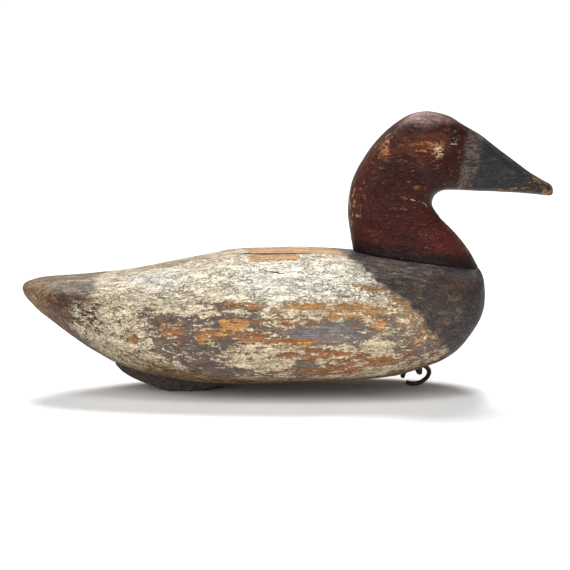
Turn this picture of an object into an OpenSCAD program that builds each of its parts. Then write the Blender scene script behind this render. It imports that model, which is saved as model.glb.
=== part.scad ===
/* [Decoy] */
// Length from the tail tip to the bill tip
decoy_len = 397; // [357:5:437]
// Width of the body at its widest
body_w = 150; // [136:2:164]
// Width of the head at the cheeks
head_w = 43; // [40:1:48]
// Width of the bill
bill_w = 26; // [22:1:28]

/* [Head joint] */
// Diameter of the dowel that stands in the neck and the body
dowel_d = 16; // [12:1:18]
// Length of that dowel, half of it in each piece
dowel_len = 64; // [40:2:70]
// Shank diameter of the nails through the neck
neck_nail_d = 2.9; // [2.4:0.1:3.4]
// Length of those nails
neck_nail_len = 50; // [40:1:56]

/* [Ballast] */
// Width of the keel weight
weight_w = 28; // [24:1:30]
// Shank diameter of the nails through the weight
weight_nail_d = 3.4; // [2.8:0.1:4]
// Length of those nails
weight_nail_len = 32; // [24:1:36]

/* [Anchor line tie] */
// Outside diameter of the ring
ring_od = 23.5; // [22:0.5:25]
// Wire diameter of the ring
ring_wire = 3.2; // [2.6:0.1:3.4]
// Gap between the two ends of the ring, as an angle
ring_gap = 44; // [24:2:50]
// Wire diameter of the staple
staple_wire = 2.9; // [2.4:0.1:3.2]
// Distance between the centres of the staple's legs
staple_w = 10; // [9:0.5:12]
// Length of the staple's legs in the wood
staple_bite = 18; // [12:1:22]

/* [Hidden] */
$fn = 48;

// The outlines are drawn for a 397 mm decoy with a body 150 mm wide, a head 43 mm wide and a bill
// 26 mm wide, and are scaled from there
k = decoy_len / 397;
body_k = body_w / 150;
head_k = head_w / 43;
bill_k = bill_w / 26;
// Play of nails, dowel and staple legs in their holes, on the radius
play = 0.05;
// Points round a rib
RIB_POINTS = 40;

// Ribs of the body: x, half width, top, height of the widest line, bottom
BODY_RIBS = [
    [-198.5, 4, 78.3, 76.6, 74.6],
    [-196.8, 11.5, 80.6, 76.8, 71],
    [-193, 18, 82.4, 77.2, 66.5],
    [-187, 25, 84.3, 77.2, 60.5],
    [-175, 34.5, 85.5, 76.4, 51.4],
    [-160, 43, 86.3, 74.6, 40.2],
    [-141, 51.5, 87.4, 71.5, 28.2],
    [-126, 57, 89.1, 68.5, 20.8],
    [-105, 62.5, 92.6, 65, 14.8],
    [-84, 67, 96.9, 62, 11.8],
    [-63, 70.5, 100.8, 59.5, 10.3],
    [-42, 73, 104.7, 57.5, 9.8],
    [-10, 75, 106.6, 56, 10.6],
    [20, 75, 106.8, 55.5, 11.4],
    [50, 73, 104.8, 55.5, 12.6],
    [72, 70, 102.4, 56, 14.3],
    [84, 67, 101.2, 57, 16.3],
    [98, 62.5, 99.8, 59, 20.2],
    [114, 56, 97.6, 62, 25.3],
    [126, 49, 95.6, 65, 32.6],
    [136, 40, 93.8, 68, 43.3],
    [142.5, 31, 92.6, 70, 52],
    [146.8, 17, 85.5, 71, 60.5],
    [148.4, 4, 75.5, 71.5, 68]
];
// Where the body's ribs stand: bunched at the two ends, even between them
EVEN_FROM = -140;
EVEN_STEP = 11;
EVEN_COUNT = 23;
EVEN_TO = EVEN_FROM + EVEN_STEP * EVEN_COUNT;
TAIL_COUNT = 8;
BREAST_COUNT = 9;
TAIL_END = BODY_RIBS[0][0];
BREAST_END = BODY_RIBS[len(BODY_RIBS) - 1][0];
STATIONS = concat(
    [for (i = [TAIL_COUNT:-1:1]) EVEN_FROM + (TAIL_END - EVEN_FROM) * sin(90 * i / TAIL_COUNT)],
    [for (i = [0:EVEN_COUNT]) EVEN_FROM + EVEN_STEP * i],
    [for (i = [1:BREAST_COUNT]) EVEN_TO + (BREAST_END - EVEN_TO) * sin(90 * i / BREAST_COUNT)]
);
// Depth that is planed off the round underside to leave it flat, at most a twentieth of its height
PLANED = 1.2;
PLANED_SHARE = 1 / 20;
// How square a rib is, where 2 is round, as rows of x and squareness: the body above and below its
// widest line. The tail has a ridge along its sides, so it is less than round there
SQUARE_ABOVE = [[TAIL_END, 1.65], [-170, 1.7], [-135, 2.1], [BREAST_END, 2.15]];
SQUARE_BELOW = [
    [TAIL_END, 1.6], [-170, 1.65], [-135, 2], [-60, 3.5], [98, 3.5], [130, 3.2], [BREAST_END, 2.4]
];
// The same for the head, at rows of HEAD_RIBS and BILL_RIBS: its sides are flatter above the neck's foot
SQUARE_NECK = 2.3;
SQUARE_HEAD = [[0, SQUARE_NECK], [3, 3], [14, 3], [18, 2.6], [24, 2.6]];

// The shelf that the neck stands on: its height at SEAT_X, and its fall towards the breast
SEAT_X = 95;
SEAT_Z = 98.1;
SEAT_FALL = 8.1;
function seat_z(x) = SEAT_Z - (x - SEAT_X) * tan(SEAT_FALL);
// What is cut away above the shelf: its reach to either side of SEAT_X, and its height
SHELF_REACH = 60;
SHELF_CLEAR = 40;

// Ribs of the neck and head, which fan round the throat from the shelf to the bill:
// x and z on the nape and crown, x and z on the throat and chin, half width
NECK_BACK = 49.1;
NECK_FRONT = 143.8;
HEAD_RIBS = [
    [NECK_BACK, seat_z(NECK_BACK), NECK_FRONT, seat_z(NECK_FRONT), 23],
    [47.9, 114, 136.8, 104, 21.6],
    [46.4, 124, 126.7, 117, 20.4],
    [45.4, 134, 115.3, 128.6, 19.6],
    [45.9, 145, 109.1, 137.2, 19.3],
    [48.5, 157, 108.4, 142.6, 19.5],
    [53.7, 168, 110.4, 146.8, 20.2],
    [60.9, 179.5, 113.6, 149.2, 21],
    [69.5, 190, 117.2, 150.3, 21.5],
    [79.5, 199, 120.8, 150.6, 21.2],
    [91, 206.4, 124.2, 150.6, 19.8],
    [102.5, 209, 127, 150.5, 17.8],
    [113.5, 207.8, 129.2, 150.3, 15.8],
    [121.8, 205, 131, 150.2, 14.2]
];
// Ribs of the bill, in the same form
BILL_RIBS = [
    [128.5, 200.6, 133, 150.1, 13.3],
    [136, 195.9, 138, 149.8, 13],
    [143, 191.9, 143, 149.5, 12.7],
    [150, 186.7, 150, 149.2, 12.4],
    [166, 174.7, 166, 148.5, 12.2],
    [180, 164.2, 180, 147.5, 12.4],
    [189, 159, 189, 146.6, 11.4],
    [194.6, 155.8, 194.6, 146, 8.2],
    [197.4, 153.4, 197.4, 146.5, 4.6],
    [198.5, 151.2, 198.5, 148.1, 1.6]
];
HEAD_STEPS = 2;
// How far up a rib it is widest, from the throat side: in the head and in the bill
HEAD_WAIST = 0.5;
BILL_WAIST = 0.4;
NECK_TO_BILL = concat(
    [for (r = HEAD_RIBS) [r[0], r[1], r[2], r[3], r[4] * head_k, HEAD_WAIST]],
    [for (r = BILL_RIBS) [r[0], r[1], r[2], r[3], r[4] * bill_k, BILL_WAIST]]
);

// The weight: its top follows the body between two ribs, and this is its underside
WEIGHT_BACK = EVEN_FROM + EVEN_STEP;
WEIGHT_RIBS = 8;
WEIGHT_FRONT = WEIGHT_BACK + WEIGHT_RIBS * EVEN_STEP;
WEIGHT_UNDER = [
    [WEIGHT_BACK, 20.6], [-124, 15.4], [-118, 11.4], [-110, 7.4],
    [-101, 4], [-94, 1.6], [-87, 0], [-71, 0], [-63, 0.8],
    [-53, 2.7], [WEIGHT_FRONT, 5]
];
// The nails through the weight, and the depth of their heads in its underside
WEIGHT_NAIL_X = [-108, -79, -52];
WEIGHT_NAIL_SUNK = 1.6;

// The staple: where it enters the bottom, how far its legs stand out below it, and the slope of
// the bottom there, which is taken over a reach to either side
STAPLE_X = 97.5;
STAPLE_DROP = 3.5;
TIE_REACH = 4;
TIE_SLOPE = atan2(bottom_z(STAPLE_X + TIE_REACH) - bottom_z(STAPLE_X - TIE_REACH), 2 * TIE_REACH);
// How far the staple is turned from square across the bottom
STAPLE_TURN = 15;
STAPLE_POINT = 4;
// Gap between the ring's wire and the body, as the ring swings
RING_GAP_TO_BODY = 0.35;
// How far the ring has slid round through the staple, so that it hangs straight down
RING_SLID = 16;
RING_R = (ring_od - ring_wire) / 2;
// The ring turns about a line along the bottom, through its wire where the staple holds it
RING_PIVOT_DEPTH = ring_wire / 2 + RING_GAP_TO_BODY + RING_R * (1 - cos(RING_SLID));
// The ring leans towards +Y until it stands on the ground
RING_LEAN = ring_lean(0, 80, 20);
// Where the gap between the ring's ends stands, round the ring from the breast side
RING_GAP_CENTRE = 193;

// The dowel's place on the shelf
DOWEL_X = 87;
// The nails through the neck: x, and the side that each is driven from
NECK_NAILS = [[64, -1], [70, 1], [116, -1], [122, 1]];
NECK_NAIL_TILT = 45;
// Height of their heads above the shelf, and their depth under the neck's surface
NECK_NAIL_UP = 8;
NECK_NAIL_SUNK = 2.6;
NAIL_POINT = 5;
// Width at the very point of a nail, and of a staple's leg
WIRE_POINT = 0.7;
// Width of a nail's head over its shank: a brad's and a clout nail's
BRAD = 1.35;
CLOUT = 2.2;
// Thickness of a nail's head over its shank's diameter
NAIL_HEAD = 0.5;
// How far a nail's hole stays open above its head
NAIL_HOLE_OPEN = 9;

// A smooth curve through column c of rows, at x: a cubic between each two rows
function span_of(rows, x, i = 0) =
    i >= len(rows) - 2 || x < rows[i + 1][0] ? i : span_of(rows, x, i + 1);
function slope_at(rows, i, c) =
    let (a = max(i - 1, 0), b = min(i + 1, len(rows) - 1))
    (rows[b][c] - rows[a][c]) / (rows[b][0] - rows[a][0]);
function curve(rows, x, c) =
    let (
        i = span_of(rows, x),
        h = rows[i + 1][0] - rows[i][0],
        t = (x - rows[i][0]) / h
    )
    cubic(
        rows[i][c], rows[i + 1][c],
        slope_at(rows, i, c) * h, slope_at(rows, i + 1, c) * h, t
    );
// A cubic from a to b that leaves with slope p and arrives with slope q
function cubic(a, b, p, q, t) =
    a * (2 * pow(t, 3) - 3 * pow(t, 2) + 1) + b * (3 * pow(t, 2) - 2 * pow(t, 3))
    + p * (pow(t, 3) - 2 * pow(t, 2) + t) + q * (pow(t, 3) - pow(t, 2));
// The same through whole rows, where u counts rows
function row_slope(rows, i) =
    (rows[min(i + 1, len(rows) - 1)] - rows[max(i - 1, 0)])
    / (min(i + 1, len(rows) - 1) - max(i - 1, 0));
function row_at(rows, u) =
    let (i = min(floor(u), len(rows) - 2))
    cubic(rows[i], rows[i + 1], row_slope(rows, i), row_slope(rows, i + 1), u - i);

// A rounded corner between circle and square, from -1 to 1
function soft(v, n) = sign(v) * pow(abs(v), 2 / n);

function bottom_z(x) = curve(BODY_RIBS, x, 4);

// Height of the lowest point of the ring when it leans by an angle, and the lean that makes it 0
function ring_low(lean) =
    let (drop = cos(lean) * cos(TIE_SLOPE))
    bottom_z(STAPLE_X) * k - RING_PIVOT_DEPTH * cos(TIE_SLOPE)
    - RING_R * (sin(RING_SLID) * sin(TIE_SLOPE) + cos(RING_SLID) * drop)
    - RING_R * sqrt(pow(sin(TIE_SLOPE), 2) + drop * drop) - ring_wire / 2;
function ring_lean(least, most, halvings) =
    let (lean = (least + most) / 2)
    halvings == 0 ? lean
    : ring_low(lean) < 0 ? ring_lean(lean, most, halvings - 1)
    : ring_lean(least, lean, halvings - 1);

function body_rib(x) =
    let (
        w = curve(BODY_RIBS, x, 1) * body_k,
        top = curve(BODY_RIBS, x, 2),
        mid = curve(BODY_RIBS, x, 3),
        low = curve(BODY_RIBS, x, 4),
        planed = min(PLANED, (mid - low) * PLANED_SHARE)
    )
    [for (i = [0:RIB_POINTS - 1])
        let (
            a = 360 * i / RIB_POINTS,
            n = lookup(x, sin(a) >= 0 ? SQUARE_ABOVE : SQUARE_BELOW),
            rise = sin(a) >= 0 ? top - mid : mid - low + planed
        )
        [x * k, w * soft(cos(a), n), max(low, mid + rise * soft(sin(a), n)) * k]];

function head_rib(row, square) =
    let (
        under = [row[2], row[3]],
        over = [row[0], row[1]],
        middle = under + (over - under) * row[5]
    )
    [for (i = [0:RIB_POINTS - 1])
        let (
            a = 360 * i / RIB_POINTS,
            p = middle + ((cos(a) >= 0 ? over : under) - middle) * abs(soft(cos(a), square))
        )
        [p[0] * k, row[4] * soft(sin(a), square), p[1] * k]];

// A closed skin over a list of ribs that all have the same number of points
module loft(ribs) {
    count = len(ribs[0]);
    last = len(ribs) - 1;
    sides = [for (i = [0:last - 1], j = [0:count - 1])
        let (
            a = i * count + j,
            b = i * count + (j + 1) % count
        )
        each [[a, b, a + count], [b, b + count, a + count]]];
    polyhedron(
        points = [for (rib = ribs) each rib],
        faces = concat(
            sides,
            [[for (j = [count - 1:-1:0]) j]],
            [[for (j = [0:count - 1]) last * count + j]]
        )
    );
}

// A nail along -Z with the top of its head at the origin, where wide is its head over its shank
module nail(d, length, wide) {
    translate([0, 0, -d * NAIL_HEAD]) cylinder(d = d * wide, h = d * NAIL_HEAD);
    translate([0, 0, -length + NAIL_POINT]) cylinder(d = d, h = length - NAIL_POINT);
    translate([0, 0, -length]) cylinder(d1 = WIRE_POINT, d2 = d, h = NAIL_POINT);
}

// Its hole, which is open above the head
module nail_hole(d, length, wide) {
    translate([0, 0, -d * NAIL_HEAD - play]) cylinder(d = d * wide + 2 * play, h = NAIL_HOLE_OPEN);
    translate([0, 0, -length + NAIL_POINT]) cylinder(d = d + 2 * play, h = length - NAIL_POINT);
    translate([0, 0, -length - play])
        cylinder(d1 = WIRE_POINT + 2 * play, d2 = d + 2 * play, h = NAIL_POINT + play);
}

// Half width of the neck at the shelf
function neck_half(x) =
    let (middle = (NECK_FRONT + NECK_BACK) / 2, half = (NECK_FRONT - NECK_BACK) / 2)
    HEAD_RIBS[0][4] * pow(1 - pow(abs(x - middle) / half, SQUARE_NECK), 1 / SQUARE_NECK);

module at_neck_nails() {
    for (n = NECK_NAILS)
        translate([
            n[0] * k,
            n[1] * (neck_half(n[0]) * head_k - NECK_NAIL_SUNK),
            (seat_z(n[0]) + NECK_NAIL_UP) * k
        ])
            rotate([n[1] * -NECK_NAIL_TILT, 0, 0]) children();
}

module at_weight_nails() {
    for (x = WEIGHT_NAIL_X)
        translate([x * k, 0, lookup(x, WEIGHT_UNDER) * k + WEIGHT_NAIL_SUNK])
            rotate([180, 0, 0]) children();
}

module at_dowel() {
    translate([DOWEL_X * k, 0, seat_z(DOWEL_X) * k]) rotate([0, SEAT_FALL, 0]) children();
}

// The frame of the line tie: origin on the bottom, +X along it, +Z square into the wood
module at_tie() {
    translate([STAPLE_X * k, 0, bottom_z(STAPLE_X) * k]) rotate([0, -TIE_SLOPE, 0]) children();
}

module dowel(grow = 0) {
    at_dowel() cylinder(d = dowel_d + 2 * grow, h = dowel_len + 2 * grow, center = true);
}

module staple_legs(grow = 0) rotate([0, 0, STAPLE_TURN]) {
    for (side = [-1, 1]) translate([0, side * staple_w / 2, -STAPLE_DROP]) {
        cylinder(d = staple_wire + 2 * grow, h = STAPLE_DROP + staple_bite - STAPLE_POINT);
        translate([0, 0, STAPLE_DROP + staple_bite - STAPLE_POINT])
            cylinder(d1 = staple_wire + 2 * grow, d2 = WIRE_POINT + 2 * grow, h = STAPLE_POINT + grow);
    }
}

module body_block() color("BurlyWood") difference() {
    loft([for (x = STATIONS) body_rib(x)]);
    above_shelf();
    dowel(play);
    at_neck_nails() nail_hole(neck_nail_d, neck_nail_len, BRAD);
    at_weight_nails() nail_hole(weight_nail_d, weight_nail_len, CLOUT);
    at_tie() staple_legs(play);
}

// What is cut away above the shelf, from just behind the neck forwards
module above_shelf() {
    translate([SEAT_X * k, 0, SEAT_Z * k]) rotate([0, SEAT_FALL, 0])
        translate([-SHELF_REACH * k, -body_w / 2, 0])
            cube([2 * SHELF_REACH * k, body_w, SHELF_CLEAR * k]);
}

module head() color("SaddleBrown") difference() {
    loft([for (i = [0:(len(NECK_TO_BILL) - 1) * HEAD_STEPS])
        let (u = i / HEAD_STEPS) head_rib(row_at(NECK_TO_BILL, u), lookup(u, SQUARE_HEAD))]);
    dowel(play);
    at_neck_nails() nail_hole(neck_nail_d, neck_nail_len, BRAD);
}

module head_dowel() color("Tan") dowel();

module neck_nails() color("DimGray")
    at_neck_nails() nail(neck_nail_d, neck_nail_len, BRAD);

module ballast_weight() color("DarkSlateGray") difference() {
    rotate([90, 0, 0]) linear_extrude(height = weight_w, center = true)
        polygon(concat(
            [for (i = [WEIGHT_RIBS:-1:0])
                let (x = WEIGHT_BACK + i * EVEN_STEP) [x, bottom_z(x)] * k],
            WEIGHT_UNDER * k
        ));
    at_weight_nails() nail_hole(weight_nail_d, weight_nail_len, CLOUT);
}

module weight_nails() color("Gray")
    at_weight_nails() nail(weight_nail_d, weight_nail_len, CLOUT);

module line_staple() color("Sienna") at_tie() {
    staple_legs();
    rotate([0, 0, STAPLE_TURN]) translate([0, 0, -STAPLE_DROP]) rotate([90, 0, 90])
        rotate([0, 0, 180]) rotate_extrude(angle = 180)
            translate([staple_w / 2, 0]) circle(d = staple_wire);
}

module line_ring() color("Black")
    at_tie() translate([0, 0, -RING_PIVOT_DEPTH]) rotate([RING_LEAN, 0, 0])
        translate([-RING_R * sin(RING_SLID), 0, -RING_R * cos(RING_SLID)]) rotate([90, 0, 0])
            rotate([0, 0, RING_GAP_CENTRE + ring_gap / 2]) rotate_extrude(angle = 360 - ring_gap)
                translate([RING_R, 0]) circle(d = ring_wire);

body_block();
head();
head_dowel();
neck_nails();
ballast_weight();
weight_nails();
line_staple();
line_ring();
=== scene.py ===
"""The looks of the floating duck decoy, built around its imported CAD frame.

Lengths are in millimetres until a mesh is made, and in metres from there on.
A place on the body is given as its x and its turn: the angle in degrees up from the body's
widest line, which is 90 on the back's ridge and -90 under the keel.
"""

import math

import bmesh
import bpy
import numpy as np
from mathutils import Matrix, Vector
from mathutils.bvhtree import BVHTree


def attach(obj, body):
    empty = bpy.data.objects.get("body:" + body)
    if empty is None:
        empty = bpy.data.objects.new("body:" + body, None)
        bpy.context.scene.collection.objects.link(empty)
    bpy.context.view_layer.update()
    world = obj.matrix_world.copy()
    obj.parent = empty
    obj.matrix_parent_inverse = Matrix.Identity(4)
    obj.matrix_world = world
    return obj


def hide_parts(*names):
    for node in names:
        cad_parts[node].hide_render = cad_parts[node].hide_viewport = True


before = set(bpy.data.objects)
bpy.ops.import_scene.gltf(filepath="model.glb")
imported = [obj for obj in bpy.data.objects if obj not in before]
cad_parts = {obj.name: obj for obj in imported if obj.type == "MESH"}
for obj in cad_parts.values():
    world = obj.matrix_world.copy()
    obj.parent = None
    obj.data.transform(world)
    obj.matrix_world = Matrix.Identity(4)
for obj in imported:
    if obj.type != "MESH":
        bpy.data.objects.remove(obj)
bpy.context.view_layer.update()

MM = 0.001

# ---------------------------------------------------------------- camera, floor and light

CAMERA_AT = (-0.00165, -1.5881, 0.2736)
CAMERA_AIM = (-0.00165, 0.0, 0.0786)
LENS_MM = 134.5


def aim(thing, target):
    """Turns a camera or a light towards a point."""
    way = Vector(target) - thing.location
    thing.rotation_euler = way.to_track_quat("-Z", "Y").to_euler()


def make_camera():
    data = bpy.data.cameras.new("camera")
    data.lens = LENS_MM
    data.sensor_width = 36
    camera = bpy.data.objects.new("camera", data)
    camera.location = CAMERA_AT
    bpy.context.scene.collection.objects.link(camera)
    aim(camera, CAMERA_AIM)
    bpy.context.scene.camera = camera


def add_light(kind, name, at, target, size, power):
    """A soft light: a disc of a diameter in metres, or a sun of a diameter in degrees."""
    data = bpy.data.lights.new(name, kind)
    data.energy = power
    if kind == "SUN":
        data.angle = math.radians(size)
    else:
        data.shape = "DISK"
        data.size = size
    light = bpy.data.objects.new(name, data)
    light.location = at
    bpy.context.scene.collection.objects.link(light)
    aim(light, target)


def make_world():
    """White where the camera sees it, and dimmer as a light on the object."""
    world = bpy.data.worlds.new("studio")
    world.use_nodes = True
    tree = world.node_tree
    seen = tree.nodes["Background"]
    seen.inputs["Color"].default_value = (1, 1, 1, 1)
    seen.inputs["Strength"].default_value = 1.1
    fill = tree.nodes.new("ShaderNodeBackground")
    fill.inputs["Color"].default_value = (1, 1, 1, 1)
    fill.inputs["Strength"].default_value = 0.15
    path = tree.nodes.new("ShaderNodeLightPath")
    either = tree.nodes.new("ShaderNodeMixShader")
    tree.links.new(path.outputs["Is Camera Ray"], either.inputs["Fac"])
    tree.links.new(fill.outputs["Background"], either.inputs[1])
    tree.links.new(seen.outputs["Background"], either.inputs[2])
    tree.links.new(either.outputs["Shader"], tree.nodes["World Output"].inputs["Surface"])
    bpy.context.scene.world = world


def make_studio():
    make_world()
    bpy.context.scene.view_settings.view_transform = "Standard"
    add_light("SUN", "back_light", (-0.05, 0.75, 1), (0, 0, 0), 22, 3.5)
    add_light("SUN", "front_light", (-0.35, -1, 0.4), (0, 0, 0), 80, 2.6)
    add_light("AREA", "overhead", (0, -0.35, 1.1), (0.02, 0, 0.1), 0.5, 3.2)

    bpy.ops.mesh.primitive_plane_add(size=200, location=(0, 0, 0))
    floor = bpy.context.object
    floor.name = "floor"
    white = bpy.data.materials.new("floor_white")
    white.use_nodes = True
    shader = white.node_tree.nodes["Principled BSDF"]
    shader.inputs["Base Color"].default_value = (0.95, 0.95, 0.95, 1)
    shader.inputs["Roughness"].default_value = 1.0
    shader.inputs["Specular IOR Level"].default_value = 0.0
    floor.data.materials.append(white)


# ---------------------------------------------------------------- numbers over a surface


def ease(value, low, high):
    """0 below low, 1 above high, and a smooth step between them."""
    t = np.clip((value - low) / (high - low), 0, 1)
    return t * t * (3 - 2 * t)


def lattice(i, j, k, seed):
    """A fixed random number from 0 to 1 for each point of a lattice."""
    n = (i * 374761393 + j * 668265263 + k * 1440662683 + seed * 974634777) & 0xFFFFFFFF
    n = ((n ^ (n >> 13)) * 1274126177) & 0xFFFFFFFF
    n = ((n ^ (n >> 16)) * 2246822519) & 0xFFFFFFFF
    return ((n ^ (n >> 15)) & 0xFFFF) / 65535


def lumps(points, size, seed):
    """Smooth noise from -1 to 1, whose lumps are size apart along x, y and z."""
    p = points / np.array(size, float)
    cell = np.floor(p).astype(np.int64)
    t = p - cell
    t = t * t * (3 - 2 * t)
    total = np.zeros(len(points))
    for corner in range(8):
        step = [(corner >> axis) & 1 for axis in range(3)]
        weight = np.ones(len(points))
        for axis in range(3):
            weight *= t[:, axis] if step[axis] else 1 - t[:, axis]
        total += weight * lattice(*(cell[:, axis] + step[axis] for axis in range(3)), seed)
    return total * 2 - 1


# ---------------------------------------------------------------- the carved shapes

# Ribs of the body, as in the CAD: x, half width, top, height of the widest line, bottom
BODY_RIBS = np.array([
    [-198.5, 4, 78.3, 76.6, 74.6],
    [-196.8, 11.5, 80.6, 76.8, 71],
    [-193, 18, 82.4, 77.2, 66.5],
    [-187, 25, 84.3, 77.2, 60.5],
    [-175, 34.5, 85.5, 76.4, 51.4],
    [-160, 43, 86.3, 74.6, 40.2],
    [-141, 51.5, 87.4, 71.5, 28.2],
    [-126, 57, 89.1, 68.5, 20.8],
    [-105, 62.5, 92.6, 65, 14.8],
    [-84, 67, 96.9, 62, 11.8],
    [-63, 70.5, 100.8, 59.5, 10.3],
    [-42, 73, 104.7, 57.5, 9.8],
    [-10, 75, 106.6, 56, 10.6],
    [20, 75, 106.8, 55.5, 11.4],
    [50, 73, 104.8, 55.5, 12.6],
    [72, 70, 102.4, 56, 14.3],
    [84, 67, 101.2, 57, 16.3],
    [98, 62.5, 99.8, 59, 20.2],
    [114, 56, 97.6, 62, 25.3],
    [126, 49, 95.6, 65, 32.6],
    [136, 40, 93.8, 68, 43.3],
    [142.5, 31, 92.6, 70, 52],
    [146.8, 17, 85.5, 71, 60.5],
    [148.4, 4, 75.5, 71.5, 68],
])
TAIL_END, BREAST_END = BODY_RIBS[0, 0], BODY_RIBS[-1, 0]
PLANED = 1.2

# The shelf under the neck: a plane through a place on it, that falls by an angle towards the bill
SEAT_X, SEAT_Z, SEAT_FALL = 95, 98.1, math.radians(8.1)

# Ribs of the neck, head and bill, as in the CAD: x and z on the nape and crown, x and z on the
# throat and chin, half width, and how far up from the throat the rib is widest
NECK_BACK, NECK_FRONT = 49.1, 143.8
HEAD_WAIST, BILL_WAIST = 0.5, 0.4


def seat_z(x):
    """The height of the shelf's plane."""
    return SEAT_Z - (x - SEAT_X) * math.tan(SEAT_FALL)


HEAD_RIBS = np.array([
    [NECK_BACK, seat_z(NECK_BACK), NECK_FRONT, seat_z(NECK_FRONT), 23, HEAD_WAIST],
    [47.9, 114, 136.8, 104, 21.6, HEAD_WAIST],
    [46.4, 124, 126.7, 117, 20.4, HEAD_WAIST],
    [45.4, 134, 115.3, 128.6, 19.6, HEAD_WAIST],
    [45.9, 145, 109.1, 137.2, 19.3, HEAD_WAIST],
    [48.5, 157, 108.4, 142.6, 19.5, HEAD_WAIST],
    [53.7, 168, 110.4, 146.8, 20.2, HEAD_WAIST],
    [60.9, 179.5, 113.6, 149.2, 21, HEAD_WAIST],
    [69.5, 190, 117.2, 150.3, 21.5, HEAD_WAIST],
    [79.5, 199, 120.8, 150.6, 21.2, HEAD_WAIST],
    [91, 206.4, 124.2, 150.6, 19.8, HEAD_WAIST],
    [102.5, 209, 127, 150.5, 17.8, HEAD_WAIST],
    [113.5, 207.8, 129.2, 150.3, 15.8, HEAD_WAIST],
    [121.8, 205, 131, 150.2, 14.2, HEAD_WAIST],
    [128.5, 200.6, 133, 150.1, 13.3, BILL_WAIST],
    [136, 195.9, 138, 149.8, 13, BILL_WAIST],
    [143, 191.9, 143, 149.5, 12.7, BILL_WAIST],
    [150, 186.7, 150, 149.2, 12.4, BILL_WAIST],
    [166, 174.7, 166, 148.5, 12.2, BILL_WAIST],
    [180, 164.2, 180, 147.5, 12.4, BILL_WAIST],
    [189, 159, 189, 146.6, 11.4, BILL_WAIST],
    [194.6, 155.8, 194.6, 146, 8.2, BILL_WAIST],
    [197.4, 153.4, 197.4, 146.5, 4.6, BILL_WAIST],
    [198.5, 151.2, 198.5, 148.1, 1.6, BILL_WAIST],
])


def cubic(a, b, p, q, t):
    """A cubic from a to b that leaves with slope p and arrives with slope q."""
    return (
        a * (2 * t**3 - 3 * t**2 + 1)
        + b * (3 * t**2 - 2 * t**3)
        + p * (t**3 - 2 * t**2 + t)
        + q * (t**3 - t**2)
    )


def rows_at(rows, places, at):
    """Whole rows on the smooth curve through rows, which stand at places."""
    last = len(rows) - 1
    i = np.clip(np.searchsorted(places, at, side="right") - 1, 0, last - 1)

    def slope(j):
        a, b = np.maximum(j - 1, 0), np.minimum(j + 1, last)
        return (rows[b] - rows[a]) / (places[b] - places[a])[:, None]

    gap = (places[i + 1] - places[i])[:, None]
    t = (at - places[i])[:, None] / gap
    return cubic(rows[i], rows[i + 1], slope(i) * gap, slope(i + 1) * gap, t)


def soft(v, n):
    """A rounded corner between circle and square."""
    return np.sign(v) * np.abs(v) ** (2 / n)


def square_above(x):
    """How square the body is above its widest line, where 2 is round and less leaves a ridge."""
    return np.interp(x, [TAIL_END, -170, -135, BREAST_END], [1.65, 1.7, 2.1, 2.15])


def square_below(x):
    """The same below the widest line, where the middle of the body is nearly flat underneath."""
    places = [TAIL_END, -170, -135, -60, 98, 130, BREAST_END]
    return np.interp(x, places, [1.6, 1.65, 2, 3.5, 3.5, 3.2, 2.4])


def body_points(x, angle):
    """Points of the body at each x, for each angle round it: an array of ribs."""
    rib = rows_at(BODY_RIBS, BODY_RIBS[:, 0], x)
    _, wide, top, middle, low = (rib[:, c][:, None] for c in range(5))
    planed = np.minimum(PLANED, (middle - low) / 20)
    upper = np.sin(angle)[None] >= 0
    n = np.where(upper, square_above(x)[:, None], square_below(x)[:, None])
    rise = np.where(upper, top - middle, middle - low + planed)
    z = np.maximum(low, middle + rise * soft(np.sin(angle)[None], n))
    return np.stack([x[:, None] + 0 * z, wide * soft(np.cos(angle)[None], n), z], axis=-1)


def head_points(u, angle):
    """Points of the head at each u, which counts the rows of HEAD_RIBS."""
    row = rows_at(HEAD_RIBS, np.arange(len(HEAD_RIBS), dtype=float), u)
    over, under, wide, waist = row[:, :2], row[:, 2:4], row[:, 4:5], row[:, 5:6]
    n = 2.3 + 0.7 * ease(u, 0, 3)[:, None] - 0.4 * ease(u, 14, 18)[:, None]
    middle = under + (over - under) * waist
    reach = np.abs(soft(np.cos(angle)[None], n))[..., None]
    end = np.where(np.cos(angle)[None, :, None] >= 0, over[:, None], under[:, None])
    p = middle[:, None] + (end - middle[:, None]) * reach
    y = wide * soft(np.sin(angle)[None], n)
    return np.stack([p[..., 0], y, p[..., 1]], axis=-1)


def skin(name, ribs):
    """A closed mesh over a list of ribs, with a fan over each end."""
    count, around = ribs.shape[:2]
    ends = ribs[[0, -1]].mean(axis=1)
    points = np.concatenate([ribs.reshape(-1, 3), ends])
    i, j = np.meshgrid(np.arange(count - 1), np.arange(around), indexing="ij")
    a, b = i * around + j, i * around + (j + 1) % around
    sides = np.stack([a, b, b + around, a + around], axis=-1).reshape(-1, 4)
    j = np.arange(around)
    k = (j + 1) % around
    last = (count - 1) * around
    first_fan = np.stack([k, j, j * 0 + count * around], axis=-1)
    last_fan = np.stack([last + j, last + k, j * 0 + count * around + 1], axis=-1)
    mesh = bpy.data.meshes.new(name)
    faces = sides.tolist() + first_fan.tolist() + last_fan.tolist()
    mesh.from_pydata((points * MM).tolist(), [], faces)
    piece = bpy.data.objects.new(name, mesh)
    bpy.context.scene.collection.objects.link(piece)
    if mesh_volume(piece) < 0:
        mesh.flip_normals()
    return piece


def mesh_volume(piece):
    work = bmesh.new()
    work.from_mesh(piece.data)
    volume = work.calc_volume(signed=True)
    work.free()
    return volume


def points_of(piece):
    """Each vertex of a piece, in millimetres."""
    flat = np.empty(len(piece.data.vertices) * 3)
    piece.data.vertices.foreach_get("co", flat)
    return flat.reshape(-1, 3) / MM


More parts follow.
